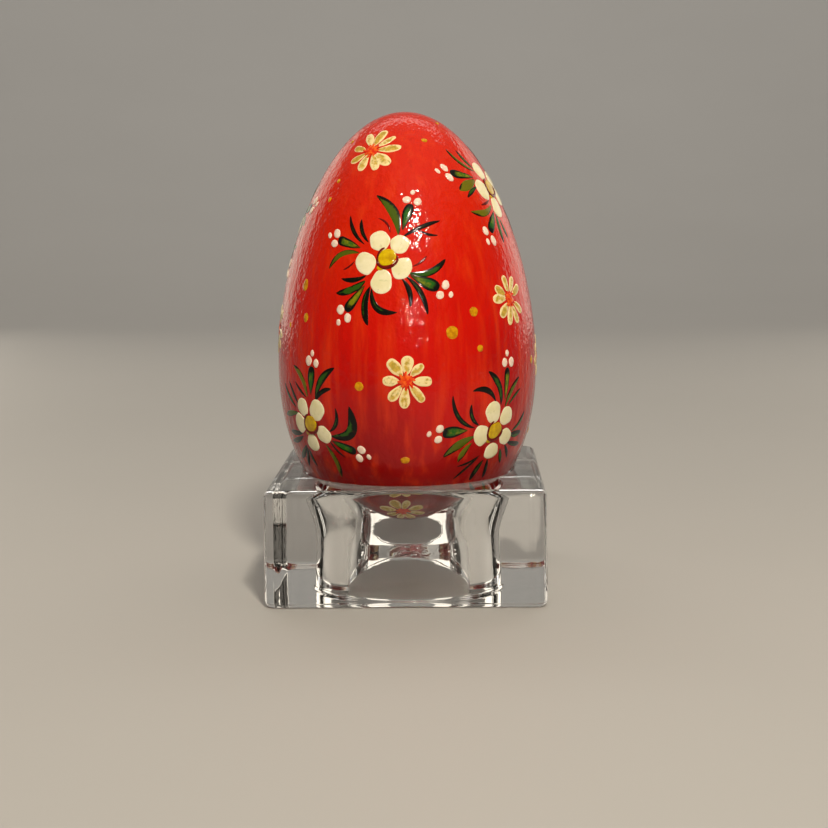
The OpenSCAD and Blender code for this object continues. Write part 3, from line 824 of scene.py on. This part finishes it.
def paint_blossoms():
    petals, rings, eyes, leaves, buds, berries = (Paint() for _ in range(6))
    for blossom in BLOSSOMS:
        site = site_of(blossom)
        mirrored, plan, dabs = blossom[2:]
        for i, (direction, reach, half_length, half_width) in enumerate(dabs):
            near = polar(direction, reach - half_length, mirrored)
            far = polar(direction, reach + half_length, mirrored)
            petals.mark(site, bowed(near, far, jitter(0.15)), scaled(PETAL, half_width), PETAL_H * MM,
                        28, 24, foot=0.01 * MM * i, streaks=0.06, plump=0.33)

        def loop(s):
            """A hand-drawn ring, not quite round and not quite closed."""
            angle = np.radians(104 + 272 * s)
            reach = 2.15 + 0.14 * np.cos(3 * angle + 0.6)
            return mirrored * reach * np.cos(angle) * MM, (reach * np.sin(angle) - 0.1) * MM

        rings.mark(site, loop, scaled(taper(0.22, 0.22), 0.3), RING_H * MM, 60, 8, foot=0.14 * MM)
        smear = polar(237, 2.7, mirrored)
        dot(eyes, site, smear, 0.75, 0.5, SMEAR_H, turn=jitter(30), foot=0.05 * MM)
        eye_spine = bowed(polar(210, 1.95, mirrored), polar(34, 2.0, mirrored), 0)
        eyes.mark(site, eye_spine, scaled(SQUARISH, 1.7), EYE_H * MM, 22, 20,
                  foot=0.16 * MM, streaks=0.07, plump=0.3)
        for kind, a0, r0, a1, r1, bow, width, *shade in plan:
            a, b = polar(a0, r0 - ROOT, mirrored), polar(a1, r1, mirrored)
            if kind == "leaf":
                leaves.mark(site, bowed(a, b, mirrored * bow), scaled(LEAF, width / 2 * LEAF_SPREAD),
                            LEAF_H * MM, 26, 12, tone=shade[0], streaks=0.14, plump=0.4)
                continue
            buds.mark(site, bowed(a, b, jitter(0.2)), scaled(CALYX, width / 2 * BUD_SPREAD), BUD_H * MM,
                      24, 12, streaks=0.12)
            along = (b - a) / np.linalg.norm(b - a)
            across = np.array([-along[1], along[0]])
            for side in (-1, 1):
                at = b + (PAIR_AHEAD + jitter(0.35)) * along + side * (PAIR_ASIDE + jitter(0.15)) * across
                half_across = PAIR_SIZE[0] * (1 + jitter(0.12))
                half_up = PAIR_SIZE[1] * (1 + jitter(0.12))
                dot(berries, site, at, half_across, half_up, PAIR_H, foot=0.03 * MM)
            at = b + (SINGLE_AHEAD + jitter(0.25)) * along + jitter(0.4) * across
            dot(berries, site, at, *SINGLE_SIZE, SINGLE_H)
    petals.piece("petal_dabs", "blossom_petals", "cream_enamel", petal_material())
    rings.piece("ring_strokes", "blossom_rings", "maroon_enamel", ring_material())
    eyes.piece("eye_dabs", "blossom_eyes", "yellow_enamel", eye_material())
    leaves.piece("leaf_strokes", "leaves", "leaf_enamel", leaf_material())
    buds.piece("bud_strokes", "buds", "bud_enamel", bud_material())
    berries.piece("berry_dots", "berries", "berry_enamel", berry_material())


def paint_daisies():
    petals, eyes = Paint(), Paint()
    sites = [(site_of(d), *d[2:]) for d in DAISIES] + [((0.0, 0.0), *UNDER_DAISY)]
    for site, turn, daisy in sites:
        for toward, reach, half_width in daisy:
            direction = turn + toward + jitter(2)
            a = polar(direction, DAISY_ROOT + jitter(0.2))
            b = polar(direction + jitter(3), reach)
            petals.mark(site, bowed(a, b, jitter(0.2)), scaled(DAISY, half_width), DAISY_H * MM, 22, 16,
                        streaks=0.12, plump=0.32)
            spoke = bowed(polar(direction + 22, 0.7), polar(direction, 2.0 + jitter(0.3)), jitter(0.3))
            eyes.mark(site, spoke, scaled(LEAF, 0.32), SPOKE_H * MM, 10, 6, foot=0.05 * MM)
        dot(eyes, site, MIDDLE, 1.35, 1.2, DAISY_EYE_H, turn=jitter(90), foot=0.05 * MM, streaks=0.14)
    petals.piece("daisy_strokes", "daisy_petals", "daisy_enamel", daisy_material())
    eyes.piece("daisy_eye_dabs", "daisy_eyes", "orange_enamel", daisy_eye_material())


def paint_gold_dots():
    gold = Paint()
    for spot in GOLD_DOTS:
        radius, stretch = spot[2:]
        dot(gold, site_of(spot), MIDDLE, radius, radius * stretch, GOLD_H, turn=jitter(15))
    gold.piece("gold_dabs", "gold_dots", "gold_enamel", gold_material())


# --- Scene ---
def make_camera():
    """A little right of the block's middle, looking 8 degrees down, as fitted to the block's edges."""
    distance, height = 0.3648, 0.0895
    bearing, pan, pitch, roll = (math.radians(v) for v in (1.93, 1.71, -7.99, -0.7))
    data = bpy.data.cameras.new("camera")
    data.sensor_width = 36
    data.lens = 68.9
    camera = bpy.data.objects.new("camera", data)
    turn = Matrix.Rotation(pan, 4, "Z") @ Matrix.Rotation(math.pi / 2 + pitch, 4, "X")
    turn = turn @ Matrix.Rotation(roll, 4, "Z")
    place = Vector((distance * math.sin(bearing), -distance * math.cos(bearing), height))
    camera.matrix_world = Matrix.Translation(place) @ turn
    bpy.context.scene.collection.objects.link(camera)
    bpy.context.scene.camera = camera


def make_floor():
    """A flat round floor that sweeps up into a backdrop on all sides."""
    columns = 96
    flat, bend = 0.7, 1.6
    gap = 0.05 * MM
    profile = [(0.02, 0.0), (0.3, 0.0)]
    for a in np.linspace(0, math.pi / 2, 17):
        profile.append((flat + bend * math.sin(a), bend * (1 - math.cos(a))))
    rings = lathe_rings([(r, z - gap) for r, z in profile], columns)
    faces = [f[::-1] for f in ring_faces(len(rings), columns, False)]
    points = [p for ring in rings for p in ring] + [np.array([0, 0, -gap])]
    faces += [(len(points) - 1, i, (i + 1) % columns) for i in range(columns)]
    floor = mesh_piece("floor", points, faces, [True] * len(faces))
    floor.data.materials.append(floor_material())


def area_light(name, place, aim, width, height, power, colour, spread):
    data = bpy.data.lights.new(name, "AREA")
    data.shape = "RECTANGLE"
    data.size, data.size_y = width, height
    data.energy = power
    data.color = colour
    data.spread = math.radians(spread)
    light = bpy.data.objects.new(name, data)
    light.location = place
    light.rotation_euler = (Vector(aim) - Vector(place)).to_track_quat("-Z", "Y").to_euler()
    bpy.context.scene.collection.objects.link(light)


def make_world():
    """A dim room, lighter overhead."""
    world = bpy.data.worlds.new("studio")
    bpy.context.scene.world = world
    world.use_nodes = True
    tree = world.node_tree
    coords = tree.nodes.new("ShaderNodeTexCoord")
    parts = tree.nodes.new("ShaderNodeSeparateXYZ")
    ramp = tree.nodes.new("ShaderNodeValToRGB")
    tree.links.new(coords.outputs["Generated"], parts.inputs[0])
    tree.links.new(parts.outputs["Z"], ramp.inputs[0])
    tree.links.new(ramp.outputs[0], tree.nodes["Background"].inputs[0])
    ramp.color_ramp.elements[0].position = 0.3
    ramp.color_ramp.elements[0].color = (0.3, 0.28, 0.25, 1)
    ramp.color_ramp.elements[1].position = 0.9
    ramp.color_ramp.elements[1].color = (1.0, 0.9, 0.78, 1)
    tree.nodes["Background"].inputs[1].default_value = 0.3


def make_lights():
    """Two small lights in front for the highlights, and soft ones above, behind and on the backdrop."""
    warm = (1.0, 0.9, 0.75)
    area_light("key", (0.11, -0.45, 0.46), (0, 0, 0.06), 0.055, 0.06, 0.88, warm, 110)
    area_light("low", (0.07, -0.6, 0.21), (0, 0, 0.06), 0.022, 0.026, 0.045, warm, 60)
    area_light("top", (0.15, -0.15, 0.85), (0, 0, 0.05), 0.9, 0.9, 0.3, warm, 130)
    area_light("left", (-0.43, 0.51, 0.25), (0, 0, 0.06), 0.45, 0.45, 0.34, warm, 120)
    area_light("right", (0.45, 0.49, 0.25), (0, 0, 0.06), 0.45, 0.45, 0.34, warm, 120)
    area_light("backdrop", (0, 1.0, 1.5), (0, 1.8, 0.1), 1.6, 0.8, 8, (1.0, 0.98, 0.95), 180)


make_camera()
blank_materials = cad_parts["egg_blank"].data.materials
blank_materials.clear()
blank_materials.append(wood_material())
make_lacquer()
make_block()
paint_blossoms()
paint_daisies()
paint_gold_dots()
make_floor()
make_world()
make_lights()
bpy.context.scene.view_settings.view_transform = "Standard"
bpy.context.scene.cycles.use_denoising = True
bpy.context.scene.cycles.max_bounces = 20
bpy.context.scene.cycles.transmission_bounces = 16
